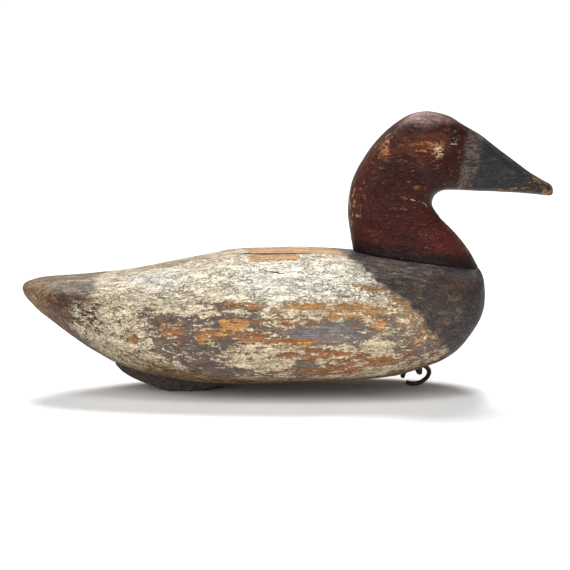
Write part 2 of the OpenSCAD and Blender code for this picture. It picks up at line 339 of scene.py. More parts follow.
def normals_of(piece):
    flat = np.empty(len(piece.data.vertices) * 3)
    piece.data.vertices.foreach_get("normal", flat)
    return flat.reshape(-1, 3)


def push(piece, depth):
    """Moves each vertex along its normal, by depth in millimetres."""
    points = points_of(piece) + normals_of(piece) * depth[:, None]
    piece.data.vertices.foreach_set("co", (points * MM).ravel())
    piece.data.update()


# Corners of a CAD solid that lie closer together than this are one corner, in millimetres
WELD = 0.002
# How far a hole stands off the dowel, nail or wire in it, in millimetres
HOLE_FIT = 0.06


def cutter(node, grow):
    """A copy of a CAD node's solids, grown by an amount in millimetres, to cut a piece with."""
    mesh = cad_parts[node].data.copy()
    mesh.materials.clear()
    work = bmesh.new()
    work.from_mesh(mesh)
    bmesh.ops.remove_doubles(work, verts=work.verts, dist=WELD * MM)
    bmesh.ops.recalc_face_normals(work, faces=work.faces)
    work.to_mesh(mesh)
    work.free()
    tool = bpy.data.objects.new(f"cutter_{node}", mesh)
    bpy.context.scene.collection.objects.link(tool)
    push(tool, np.full(len(mesh.vertices), grow))
    return tool


def block(name, corners):
    """A closed mesh over the eight corners of a box, low face first, in millimetres."""
    mesh = bpy.data.meshes.new(name)
    low_and_high = [(0, 3, 2, 1), (4, 5, 6, 7)]
    sides = [(0, 1, 5, 4), (1, 2, 6, 5), (2, 3, 7, 6), (3, 0, 4, 7)]
    mesh.from_pydata([Vector(c) * MM for c in corners], [], low_and_high + sides)
    tool = bpy.data.objects.new(name, mesh)
    bpy.context.scene.collection.objects.link(tool)
    return tool


def seat_block(from_x, to_x, thick):
    """A box on the shelf's plane, above it where thick is positive and below it otherwise."""
    beside = 120  # well past either side of the body
    plan = [(from_x, -beside), (to_x, -beside), (to_x, beside), (from_x, beside)]
    if thick < 0:
        plan.reverse()
    low = [(x, y, seat_z(x)) for x, y in plan]
    high = [(x, y, seat_z(x) + thick) for x, y in plan]
    return block("seat_block", low + high)


def cut(piece, tools):
    """Cuts the tools out of a piece, and removes them."""
    for tool in tools:
        change = piece.modifiers.new("cut", "BOOLEAN")
        change.operation = "DIFFERENCE"
        change.solver = "MANIFOLD"
        change.object = tool
        freeze(piece)
        bpy.data.objects.remove(tool)


def freeze(piece):
    """Applies a piece's modifiers to its mesh."""
    graph = bpy.context.evaluated_depsgraph_get()
    mesh = bpy.data.meshes.new_from_object(piece.evaluated_get(graph))
    piece.modifiers.clear()
    piece.data = mesh
    mesh.materials.clear()


def copy_of(name, node):
    """A new piece in the shape of a CAD node."""
    piece = cutter(node, 0)
    piece.name = name
    return piece


def remesh(piece, voxel, rounds):
    """Gives a piece an even mesh of a size in millimetres, and softens it."""
    change = piece.modifiers.new("remesh", "REMESH")
    change.mode = "VOXEL"
    change.voxel_size = voxel * MM
    change.adaptivity = 0
    freeze(piece)
    change = piece.modifiers.new("soften", "SMOOTH")
    change.factor = 0.5
    change.iterations = rounds
    freeze(piece)


# Heights of a blade's rows over the surface, in millimetres. They are close together near the
# surface, so that the cut leaves vertices there and the painted shade inside a check starts at its lip
BLADE_ROWS = [2, 0.9, 0.6, 0.3, 0, -0.3, -0.6, -0.9]
BLADE_STEPS = 24
BLADE_TAPER = 0.06


def crack(points, width, depth, normal):
    """A blade to cut a drying check with: it follows points, and is widest half way along."""
    points = np.array(points, float)
    normal = np.array(normal, float) / np.linalg.norm(normal)
    t = np.linspace(0, 1, BLADE_STEPS)
    given = np.linspace(0, 1, len(points))
    line = np.stack([np.interp(t, given, points[:, c]) for c in range(3)], -1)
    wander = lumps(line, (5, 5, 5), 61) * 0.5 + lumps(line, (1.6, 1.6, 1.6), 62) * 0.25
    along = np.gradient(line, axis=0)
    along /= np.linalg.norm(along, axis=1)[:, None]
    across = np.cross(normal, along)
    line = line + across * wander[:, None]
    half = (0.06 + width / 2 * np.sin(np.pi * t) ** 0.6)[:, None]
    deep = (0.3 + depth * np.sin(np.pi * t) ** 0.5)[:, None]
    right, left = [], []
    for row in BLADE_ROWS:
        out = across * half * (1 + (row - BLADE_ROWS[0]) * BLADE_TAPER)
        right.append(line + out + normal * row)
        left.insert(0, line - out + normal * row)
    out = across * half * 0.2
    down = normal * (deep - BLADE_ROWS[-1])
    root = [line + out - down, line - out - down]
    return skin("crack", np.stack(left + right + root, axis=1))


def depth_under(outside, piece):
    """How far each point of a piece lies inside the skin that it was cut from, in millimetres."""
    return np.array([outside.find_nearest(v.co)[3] for v in piece.data.vertices]) / MM


def smooth_shade(piece):
    piece.data.shade_smooth()


def field(piece, name, values):
    """Stores one number for each vertex, or one colour, for the material to read."""
    if values.ndim == 1:
        store = piece.data.attributes.new(name, "FLOAT", "POINT")
        store.data.foreach_set("value", values.astype(np.float32))
    else:
        store = piece.data.attributes.new(name, "FLOAT_COLOR", "POINT")
        rgba = np.concatenate([values, np.ones((len(values), 1))], axis=1)
        store.data.foreach_set("color", rgba.astype(np.float32).ravel())


# ---------------------------------------------------------------- paint and wear


# The studio's light shows a surface this much brighter than its own colour
SHOWN = 1.15


def light(colour):
    """The surface colour, as linear light, that shows as an sRGB colour from 0 to 255."""
    c = np.array(colour, float) / 255
    return np.where(c <= 0.04045, c / 12.92, ((c + 0.055) / 1.055) ** 2.4) / SHOWN


class Coat:
    """The paint at each vertex: a wood tint, an undercoat and a topcoat, each with its cover."""

    def __init__(self, count, wood, under, top, dirt, crack):
        self.wood = np.tile(light(wood), (count, 1))
        self.under = np.tile(light(under), (count, 1))
        self.top = np.tile(light(top), (count, 1))
        self.under_cover = np.zeros(count)
        self.top_cover = np.zeros(count)
        self.crackle = np.zeros(count)
        self.dirt = np.tile(light(dirt), (count, 1))
        self.crack = np.tile(light(crack), (count, 1))

    def tint(self, which, colour, mask):
        """Changes a layer's colour under a mask."""
        layer = getattr(self, which)
        layer += (light(colour) - layer) * mask[:, None]

    def cover(self, which, amount, mask):
        """Moves a layer's cover, or the crackle, towards an amount under a mask."""
        layer = getattr(self, which)
        layer += (amount - layer) * mask

    def store(self, piece):
        field(piece, "wood_tint", self.wood)
        field(piece, "under_tint", self.under)
        field(piece, "top_tint", self.top)
        field(piece, "under_cover", self.under_cover)
        field(piece, "top_cover", self.top_cover)
        field(piece, "crackle", self.crackle)
        field(piece, "dirt_tint", self.dirt)
        field(piece, "crack_tint", self.crack)


class Patches:
    """Soft-edged patches on a surface with two coordinates, a and b, with ragged outlines.

    A patch is called by its middle, its reach along a and along b, and how soft its edge is.
    """

    def __init__(self, a, b, ragged):
        self.a, self.b, self.ragged = a, b, ragged

    def __call__(self, a, b, long, high, edge=0.45):
        r = np.hypot((self.a - a) / long, (self.b - b) / high) + self.ragged * edge
        return 1 - ease(r, 1 - edge, 1 + edge)

    def band(self, which, low, high, edge):
        value = getattr(self, which) + self.ragged * edge
        return ease(value, low - edge, low + edge) * (1 - ease(value, high - edge, high + edge))


def turn_of(points):
    """How far each point of the body is turned up from the widest line, in degrees."""
    x = np.clip(points[:, 0], TAIL_END, BREAST_END)
    middle = rows_at(BODY_RIBS, BODY_RIBS[:, 0], x)[:, 3]
    return np.degrees(np.arctan2(points[:, 2] - middle, np.abs(points[:, 1])))


# Where the breast's dark paint begins: its x at each turn
BREAST_TURN = [-90, -50, -16, 4, 20, 31, 60, 90]
BREAST_X = [133, 125, 112, 97, 81, 64, 47, 35]


def paint_body(piece, depth):
    p = points_of(piece)
    # The far side is worn in other places than the near one
    far = ease(p[:, 1], -12, 12)
    x = p[:, 0] + 17 * far * np.sin(p[:, 2] / 19 + 1)
    turn = turn_of(p) + 5 * far
    ragged = 0.6 * lumps(p, (13, 6, 6), 1) + 0.4 * lumps(p, (5, 2.6, 2.6), 2)
    at = Patches(x, turn, ragged)
    everywhere = np.ones(len(p))
    cream = (234, 216, 182)
    coat = Coat(len(p), (190, 138, 90), (118, 104, 94), cream, (182, 150, 110), (66, 50, 38))

    # Cream over a grey undercoat on the whole back and sides, thinner towards the keel
    coat.cover("under_cover", 0.7, everywhere)
    coat.cover("top_cover", 0.55, everywhere)
    coat.cover("crackle", 0.55, everywhere)
    upper = ease(turn + 4 * ragged, 11, 20)
    coat.cover("top_cover", 0.95, upper)
    coat.cover("under_cover", 0.5, upper)
    coat.cover("crackle", 1, upper)
    coat.tint("top", (250, 239, 214), upper)
    coat.tint("under", (158, 138, 112), upper)
    coat.tint("crack", (118, 92, 66), upper)
    coat.tint("top", (255, 252, 236), at(6, 33, 62, 18, 0.6))
    coat.tint("top", (238, 224, 196), at(-100, 20, 45, 30, 0.7))
    coat.tint("top", (226, 226, 220), at(-92, 30, 24, 12, 0.6) * 0.8)
    coat.tint("under", (150, 144, 138), at(-92, 28, 34, 16, 0.6))
    coat.cover("under_cover", 0.8, at(-92, 28, 34, 16, 0.6))
    ridge = at(-88, 80, 50, 24, 0.5)
    coat.tint("top", (214, 198, 170), ridge)
    coat.tint("under", (146, 130, 114), ridge)
    coat.tint("wood", (166, 144, 118), ridge)
    coat.cover("top_cover", 0.66, ridge)
    coat.cover("top_cover", 0.84, at(-128, 4, 20, 50, 0.6))
    low_back = at(-116, -20, 40, 30, 0.6)
    coat.tint("top", (222, 208, 180), low_back)
    coat.tint("under", (112, 98, 84), low_back)
    coat.cover("top_cover", 0.76, low_back)
    coat.cover("crackle", 1, low_back)

    # The side: chipped down to a dark grey-brown undercoat
    coat.tint("under", (106, 94, 88), at(-76, -10, 60, 22))
    for place, top_left, under_left in (
        ((-74, -3, 34, 7), 0.3, 0.85), ((-66, -13, 44, 9), 0.36, 0.9), ((-30, 1, 34, 7), 0.4, 0.85),
        ((-95, -22, 26, 7), 0.5, 0.9), ((-52, -26, 26, 5), 0.3, 0.95), ((14, -2, 24, 6), 0.36, 0.85),
        ((12, -22, 9, 8), 0.2, 0.95), ((-88, -19, 12, 9), 0.42, 0.85), ((-104, -29, 8, 6), 0.5, 0.8),
    ):
        coat.cover("top_cover", top_left, at(*place))
        coat.cover("under_cover", under_left, at(*place))
    coat.tint("under", (132, 130, 132), at(36, -2, 34, 5, 0.8) * 0.75)
    coat.cover("top_cover", 0.3, at(40, -1, 34, 6))
    coat.cover("under_cover", 0.94, at(36, -2, 32, 4))
    coat.tint("under", (126, 112, 102), at(84, -6, 30, 18))
    coat.cover("top_cover", 0.38, at(84, -4, 30, 14))
    coat.cover("under_cover", 0.85, at(84, -6, 30, 16))
    band = at(34, 12, 46, 5, 0.4)
    coat.tint("under", (196, 156, 112), band)
    coat.tint("top", (240, 224, 192), band)
    coat.cover("top_cover", 0.68, band)
    coat.tint("under", (172, 142, 112), at(93, 10, 14, 13))
    coat.cover("top_cover", 0.58, at(93, 10, 14, 13))
    coat.cover("top_cover", 0.4, at(96, -18, 20, 12))
    coat.tint("top", (226, 208, 176), at(-10, -20, 40, 9))
    for place, amount in (
        ((-18, -17, 26, 7), 0.76), ((-112, -32, 26, 9), 0.7), ((-120, -12, 20, 14), 0.82),
        ((64, -11, 14, 4), 0.76), ((40, -11, 10, 3), 0.8), ((56, -31, 38, 8), 0.64),
        ((-44, 16, 16, 3), 0.9), ((68, -2, 8, 3), 0.6), ((-8, 3, 6, 2), 0.7),
        ((-82, 8, 24, 4), 0.8), ((20, 8, 40, 3), 0.62),
    ):
        coat.cover("top_cover", amount, at(*place))

    # Red-brown streaks of an older coat
    for place in (
        (-4, -7, 28, 1.8), (-28, -5, 16, 1.2), (26, -14, 30, 3.5), (60, -20, 26, 3),
        (30, -25, 28, 3), (-84, -8, 10, 4), (-58, -6, 8, 3), (0, 4, 22, 2),
    ):
        coat.tint("under", (160, 104, 66), at(*place))
        coat.cover("top_cover", 0.41, at(*place))
        coat.cover("under_cover", 0.75, at(*place))

    # Bare orange wood, with flecks of paint left on it
    for place, left in (
        ((-39, 3, 10, 4), 0.3), ((-46, -3, 5, 5), 0.32), ((-36, 13, 16, 1.6), 0.35),
        ((14, 13, 24, 2.2), 0.36), ((42, 12, 28, 2.6), 0.38), ((62, 25, 12, 2), 0.3),
        ((-113, -18, 5, 4), 0.36), ((-88, -4, 7, 3), 0.45), ((-60, -10, 7, 4), 0.45),
        ((12, -8, 5, 2.4), 0.35), ((66, 2, 8, 3), 0.4), ((46, 7, 20, 1.6), 0.42),
        ((-9, 51, 7, 1.4), 0.5), ((52, 27, 16, 1.4), 0.5), ((92, -12, 8, 4), 0.45),
        ((30, 19, 20, 1.2), 0.55),
    ):
        coat.tint("wood", (196, 142, 84), at(*place))
        coat.cover("top_cover", left, at(*place))
        coat.cover("under_cover", left, at(*place))

    # The crest of the back is bald as far as the long check, and so is a strip below that
    check = np.interp(x, [-43, -28, -12, 13], [71, 68, 64.5, 63.9])
    crest = ease(turn - check - 11 * far + 2 * ragged, -0.6, 1) * at.band("a", -30, 46, 8)
    notch = 3.5 * np.exp(-((x + 2) / 6) ** 2)
    below_check = ease(turn - 49.5 - notch + 1.8 * ragged, -1, 1.4) * (1 - ease(turn - check, -1, 0))
    below_check *= at.band("a", -27, 8, 2.6) * (1 - far)
    bald = np.maximum(crest, below_check)
    coat.tint("wood", (206, 166, 122), bald)
    coat.tint("wood", (206, 154, 98), bald * at(-26, 54, 6, 12))
    coat.tint("wood", (204, 150, 98), bald * at(5, 54, 6, 12))
    coat.tint("under", (190, 150, 110), bald)
    coat.cover("top_cover", 0.2, bald)
    coat.cover("under_cover", 0.2, bald)

    # The keel: thin brown paint, with more of the cream left behind the weight
    keel = 1 - ease(turn + 4 * ragged, -38, -29)
    coat.tint("wood", (142, 106, 74), keel)
    coat.tint("under", (86, 68, 54), keel)
    coat.cover("top_cover", 0.4, keel * ease(x, -118, -90))
    coat.cover("under_cover", 0.45, keel)
    coat.cover("crackle", 1, keel)
    coat.tint("top", (186, 160, 120), keel)
    keel_back = keel * (1 - ease(x, -118, -94))
    coat.tint("top", (224, 206, 172), keel_back)
    coat.cover("top_cover", 0.7, keel_back)
    coat.cover("under_cover", 0.6, keel_back)
    # Darker still under the body: painted shade, where the light falls off towards the bottom
    underside_shade = 1 - ease(turn, -62, -46)
    coat.tint("wood", (116, 86, 60), underside_shade)
    coat.tint("top", (150, 126, 94), underside_shade)

    # The breast: charcoal, worn to brown, with a bare strip along its edge
    edge = x - np.interp(turn, BREAST_TURN, BREAST_X) + 5 * ragged + 2 * lumps(p, (2.4, 1.4, 1.4), 3)
    strip = ease(edge, -13, -6) * (1 - ease(edge, 0, 5)) * (1 - ease(np.abs(turn - 8), 14, 30))
    coat.tint("wood", (178, 136, 94), strip)
    coat.cover("top_cover", 0.36, strip * 0.9)
    coat.cover("under_cover", 0.45, strip)
    breast = ease(edge, -2.5, 2.5)
    coat.tint("wood", (136, 106, 84), breast)
    coat.tint("under", (96, 80, 72), breast)
    coat.tint("top", (72, 69, 70), breast)
    coat.tint("dirt", (106, 86, 72), breast)
    coat.tint("crack", (30, 26, 26), breast)
    coat.cover("under_cover", 0.8, breast)
    coat.cover("top_cover", 0.6, breast)
    coat.cover("crackle", 0.5, breast)
    scuffs = ease(lumps(p, (16, 2.4, 2.4), 17) + 0.5 * lumps(p, (30, 12, 12), 18), 0.4, 0.8) * breast
    coat.tint("top", (116, 98, 88), scuffs * 0.8)
    coat.tint("under", (124, 100, 84), scuffs)
    coat.cover("top_cover", 0.4, scuffs)
    coat.tint("top", (50, 49, 52), breast * ease(x, 122, 138))
    coat.cover("top_cover", 0.75, breast * ease(x, 118, 134))
    rusty = at(124, 24, 16, 14, 0.8) * breast * 0.6
    coat.tint("top", (88, 64, 56), rusty)
    coat.tint("under", (74, 52, 45), rusty)
    # Paler grey where the breast turns up under the neck: a painted highlight, with the topcoat thinner
    # there
    shelf = breast * ease(turn, 26, 42) * (1 - ease(x, 96, 130))
    coat.tint("wood", (176, 152, 134), shelf)
    coat.tint("under", (136, 118, 106), shelf)
    coat.tint("top", (86, 86, 92), shelf)
    coat.cover("top_cover", 0.5, shelf)

    # The tail: paint worn off the end, grey weathered wood on top, and dark stains below
    tail = 1 - ease(x + 9 * ragged, -152, -134)
    coat.tint("wood", (168, 148, 126), tail)
    coat.tint("under", (134, 122, 112), tail)
    coat.tint("top", (116, 106, 100), tail)
    coat.tint("dirt", (150, 120, 88), tail)
    coat.cover("under_cover", 0.42, tail)
    coat.cover("top_cover", 0.42, tail)
    coat.cover("crackle", 0.9, tail)
    pale = at(-146, 26, 26, 9, 0.6)
    coat.tint("wood", (196, 178, 152), pale)
    under_tail = tail * (1 - ease(turn + 3 * ragged, -3, 4))
    coat.tint("under", (104, 70, 56), under_tail)
    coat.cover("under_cover", 0.6, under_tail)
    coat.tint("top", (80, 62, 54), under_tail)
    coat.tint("wood", (146, 106, 74), under_tail)
    stain = at(-160, -6, 14, 9, 0.6)
    coat.tint("under", (86, 48, 38), stain)
    coat.tint("top", (70, 44, 36), stain)
    coat.cover("top_cover", 0.6, stain)
    coat.tint("top", (112, 120, 118), at(-147, 14, 7, 4, 0.8))
    coat.cover("top_cover", 0.6, at(-147, 14, 9, 6, 0.8))
    speckled = at(-146, -24, 14, 22)
    coat.tint("top", (218, 204, 176), speckled)
    coat.tint("under", (54, 46, 42), speckled)
    coat.tint("wood", (176, 130, 92), speckled)
    coat.cover("top_cover", 0.5, speckled)
    coat.cover("under_cover", 0.75, speckled)
    coat.cover("top_cover", 0.68, at(-140, -38, 18, 13))
    tip = 1 - ease(x + 5 * ragged, -188, -170)
    coat.tint("wood", (150, 122, 86), tip)
    coat.tint("under", (112, 86, 62), tip)
    coat.cover("top_cover", 0.2, tip)
    coat.cover("under_cover", 0.4, tip)

    # Inside the drying checks: bare wood, painted nearly black as shade
    check_shade = ease(depth, 0.05, 0.3)
    for layer in ("wood", "under", "top"):
        coat.tint(layer, (44, 27, 17), check_shade)
    coat.store(piece)


def paint_head(piece):
    p = points_of(piece)
    x, z = p[:, 0] + 6 * ease(p[:, 1], -5, 5), p[:, 2]
    ragged = 0.6 * lumps(p, (9, 5, 5), 11) + 0.4 * lumps(p, (3.4, 2, 2), 12)
    at = Patches(x, z, ragged)
    everywhere = np.ones(len(p))
    coat = Coat(len(p), (150, 90, 54), (42, 17, 12), (66, 24, 16), (36, 16, 12), (14, 7, 6))
    coat.cover("under_cover", 0.93, everywhere)
    coat.cover("top_cover", 0.5, everywhere)
    coat.cover("crackle", 0.5, everywhere)
    coat.tint("top", (80, 27, 19), at(88, 132, 46, 24, 0.6))
    coat.tint("under", (56, 21, 15), at(88, 132, 46, 24, 0.6))
    coat.tint("top", (104, 44, 35), at(120, 112, 22, 18, 0.6))
    coat.tint("under", (74, 30, 24), at(120, 112, 22, 18, 0.6))
    coat.tint("top", (58, 23, 16), at(100, 172, 34, 24, 0.6))
    nape = x - np.interp(z, HEAD_RIBS[:12, 1], HEAD_RIBS[:12, 0])
    # A paler rim down the nape: a painted rim highlight, with crackle and a thinner undercoat there as
    # wear
    nape_wear_and_rim_light = (1 - ease(nape + 2 * ragged, 3, 10)) * ease(z, 112, 130)
    coat.tint("top", (92, 50, 40), nape_wear_and_rim_light)
    coat.tint("under", (62, 33, 26), nape_wear_and_rim_light)
    coat.cover("under_cover", 0.84, nape_wear_and_rim_light)
    coat.cover("crackle", 1, nape_wear_and_rim_light)
    # Paler on the crown: a painted highlight, broad and faint, and brighter in its middle
    crown_highlight_broad = at(98, 205, 28, 5, 0.6)
    coat.tint("top", (150, 110, 98), crown_highlight_broad)
    coat.tint("under", (92, 64, 56), crown_highlight_broad)
    crown_highlight = at(103, 203, 13, 4.5, 0.9)
    coat.tint("top", (190, 156, 147), crown_highlight)
    coat.tint("under", (136, 104, 96), crown_highlight)
    brow = at(100, 187, 22, 8, 0.7)
    coat.tint("top", (104, 56, 38), brow)
    coat.tint("under", (84, 44, 30), brow)

    # Rubbed thin along the nape, the brow and the cheek
    for place, left in (
        ((70, 182, 9, 9), 0.62), ((60, 170, 7, 10), 0.7), ((53, 156, 5, 14), 0.8),
        ((50, 136, 4, 12), 0.84), ((104, 184, 18, 4.5), 0.62), ((98, 171, 14, 5), 0.82),
        ((118, 196, 8, 5), 0.75), ((62, 116, 9, 5), 0.86),
    ):
        coat.cover("top_cover", left * 0.6, at(*place, 0.7))
        coat.cover("under_cover", left, at(*place, 0.7))
        coat.tint("under", (92, 48, 30), at(*place, 0.7) * 0.7)
    for place in (
        (97, 153, 7, 2.2), (71, 181, 4, 4), (107, 186, 9, 1.4), (112, 179, 3, 5), (98, 181, 8, 1),
    ):
        coat.cover("top_cover", 0.3, at(*place, 0.6))
        coat.cover("under_cover", 0.42, at(*place, 0.6))
        coat.tint("wood", (176, 112, 64), at(*place, 0.6))
    coat.tint("wood", (208, 172, 130), at(112.5, 179.5, 4, 7))
    specks = ease(lumps(p, (3, 3, 3), 13), 0, 0.5)
    coat.tint("wood", (186, 140, 104), at(66, 178, 8, 10, 0.6) * specks)
    scratch = z - np.interp(x, [84, 92, 96, 102, 106], [146, 144.5, 143, 141, 136])
    scratch = 1 - ease(np.abs(scratch + 0.5 * ragged), 0.3, 0.9)
    scratch *= ease(x, 82, 86) * (1 - ease(x, 104, 107))
    coat.tint("wood", (196, 156, 116), scratch)
    coat.cover("top_cover", 0.3, scratch)
    coat.cover("under_cover", 0.35, scratch)

    # Chipped down the nape
    chipped = (1 - ease(nape, 5, 14)) * ease(z, 118, 130) * (1 - ease(z, 186, 196))
    chipped *= ease(lumps(p, (2.6, 2, 2.4), 15) + 0.6 * lumps(p, (12, 8, 12), 16), 0.35, 0.6)
    coat.tint("wood", (204, 156, 126), chipped)
    coat.cover("top_cover", 0.3, chipped)
    coat.cover("under_cover", 0.35, chipped)

    # A dark spot with pale chips, where an eye may once have been painted
    spot = at(123.5, 190, 3.5, 9, 0.5)
    coat.tint("top", (40, 26, 24), spot)
    coat.tint("under", (34, 22, 22), spot)
    coat.tint("wood", (206, 176, 146), spot)
    coat.cover("under_cover", 0.7, spot)

    # Nearly black along the foot of the neck
    foot = 1 - ease(z - seat_z(x) + 3 * ragged, 4, 13)
    coat.tint("top", (32, 20, 17), foot)
    coat.tint("under", (20, 12, 11), foot)
    coat.cover("top_cover", 0.7, foot)

    # The bill: charcoal, with a mottled band at its base and wear at its tip
    along = x - 0.2 * (z - 157)
    bill = ease(along + 1.5 * ragged, 124.5, 129) * ease(z, 142, 146)
    coat.tint("top", (44, 45, 49), bill)
    coat.tint("under", (52, 47, 47), bill)
    coat.tint("dirt", (70, 62, 56), bill)
    coat.tint("wood", (128, 96, 68), bill)
    coat.cover("top_cover", 0.72, bill)
    coat.cover("under_cover", 0.95, bill)
    base = bill * (1 - ease(along + 1.5 * ragged, 137, 142))
    coat.tint("under", (96, 82, 73), base)
    coat.tint("top", (56, 50, 50), base)
    coat.cover("top_cover", 0.45, base)
    for place in ((186, 158, 13, 4.5), (193, 151, 8, 6), (166, 151.5, 16, 2)):
        coat.tint("wood", (160, 114, 72), at(*place, 0.6))
        coat.cover("top_cover", 0.42, at(*place, 0.6))
        coat.cover("under_cover", 0.5, at(*place, 0.6))
    coat.store(piece)


# ---------------------------------------------------------------- materials


class Shader:
    """Short names for the nodes of one material. Places are in millimetres, in the object's frame."""

    def __init__(self, name):
        self.material = bpy.data.materials.new(name)
        self.material.use_nodes = True
        self.tree = self.material.node_tree
        self.surface = self.tree.nodes["Principled BSDF"]
        place = self.tree.nodes.new("ShaderNodeTexCoord").outputs["Object"]
        self.place = self.vector("MULTIPLY", place, (1 / MM, 1 / MM, 1 / MM))

    def connect(self, socket, value):
        if isinstance(value, bpy.types.NodeSocket):
            self.tree.links.new(value, socket)
        elif isinstance(value, (tuple, list, np.ndarray)):
            value = [float(v) for v in value]
            socket.default_value = value + [1.0] * (len(socket.default_value) - len(value))
        else:
            socket.default_value = value

    def vector(self, operation, a, b):
        node = self.tree.nodes.new("ShaderNodeVectorMath")
        node.operation = operation
        self.connect(node.inputs[0], a)
        self.connect(node.inputs[1], b)
        return node.outputs[0]

    def math(self, operation, a, b=0.0):
        node = self.tree.nodes.new("ShaderNodeMath")
        node.operation = operation
        self.connect(node.inputs[0], a)
        self.connect(node.inputs[1], b)
        return node.outputs[0]

    def sum(self, *terms):
        """The sum of terms, each of them a share and a value."""
        total = None
        for share, value in terms:
            term = self.math("MULTIPLY", value, share)
            total = term if total is None else self.math("ADD", total, term)
        return total

    def attribute(self, name, output="Fac"):
        node = self.tree.nodes.new("ShaderNodeAttribute")
        node.attribute_name = name
        return node.outputs[output]

    def noise(self, size, detail=3.0, roughness=0.55, shift=0.0):
        """Noise with an average of 0.5, whose lumps are size apart along x, y and z."""
        node = self.tree.nodes.new("ShaderNodeTexNoise")
        spread = self.vector("MULTIPLY", self.place, tuple(1 / s for s in size))
        self.connect(node.inputs["Vector"], self.vector("ADD", spread, (shift, shift * 2, shift * 3)))
        node.inputs["Scale"].default_value = 1.0
        node.inputs["Detail"].default_value = detail
        node.inputs["Roughness"].default_value = roughness
        return node.outputs["Fac"]

    def cells(self, size, wander, shift=0.0):
        """How far each place is from the edge of its cell: the cells are a size apart, and crooked."""
        node = self.tree.nodes.new("ShaderNodeTexVoronoi")
        node.feature = "DISTANCE_TO_EDGE"
        spread = self.vector("MULTIPLY", self.place, tuple(1 / s for s in size))
        bend = self.tree.nodes.new("ShaderNodeTexNoise")
        bend.inputs["Scale"].default_value = 1.5
        bend.inputs["Detail"].default_value = 4.0
        self.connect(bend.inputs["Vector"], self.vector("ADD", spread, (shift, shift * 2, shift * 3)))
        away = self.vector("MULTIPLY", bend.outputs["Color"], (wander, wander, wander))
        self.connect(node.inputs["Vector"], self.vector("ADD", spread, away))
        node.inputs["Scale"].default_value = 1.0
        return node.outputs["Distance"]

    def step(self, value, low, high):
        """0 below low, 1 above high, and a smooth step between them."""
        node = self.tree.nodes.new("ShaderNodeMapRange")
        node.interpolation_type = "SMOOTHSTEP"
        self.connect(node.inputs["Value"], value)
        self.connect(node.inputs["From Min"], low)
        self.connect(node.inputs["From Max"], high)
        return node.outputs["Result"]

    def line(self, value, half):
        """1 where value passes 0.5, and 0 beyond half on either side."""
        away = self.math("ABSOLUTE", self.math("SUBTRACT", value, 0.5))
        return self.math("SUBTRACT", 1.0, self.step(away, half * 0.35, half))

    def mix(self, factor, a, b, blend="MIX"):
        node = self.tree.nodes.new("ShaderNodeMix")
        node.data_type = "RGBA"
        node.blend_type = blend
        self.connect(node.inputs[0], factor)
        self.connect(node.inputs[6], a)
        self.connect(node.inputs[7], b)
        return node.outputs[2]

    def shade(self, colour, value, low, high):
        """A colour times a number that goes from low to high with value."""
        node = self.tree.nodes.new("ShaderNodeMapRange")
        self.connect(node.inputs["Value"], value)
        node.inputs["From Min"].default_value = 0.35
        node.inputs["From Max"].default_value = 0.65
        node.inputs["To Min"].default_value = low
        node.inputs["To Max"].default_value = high
        return self.vector("MULTIPLY", colour, node.outputs["Result"])

    def finish(self, colour, roughness, height, relief):
        """Sets the surface: relief is the height's reach in millimetres."""
        bump = self.tree.nodes.new("ShaderNodeBump")
        bump.inputs["Strength"].default_value = 1.0
        bump.inputs["Distance"].default_value = relief * MM
        self.connect(bump.inputs["Height"], height)
        self.connect(self.surface.inputs["Base Color"], colour)
        self.connect(self.surface.inputs["Roughness"], roughness)
        self.tree.links.new(bump.outputs["Normal"], self.surface.inputs["Normal"])
        return self.material


# How far the paint's noise reaches to either side of its average, between bare and fully covered
NOISE_REACH = 0.13
# How soft the edge of a chip is, on the same scale
CHIP_EDGE = 0.008


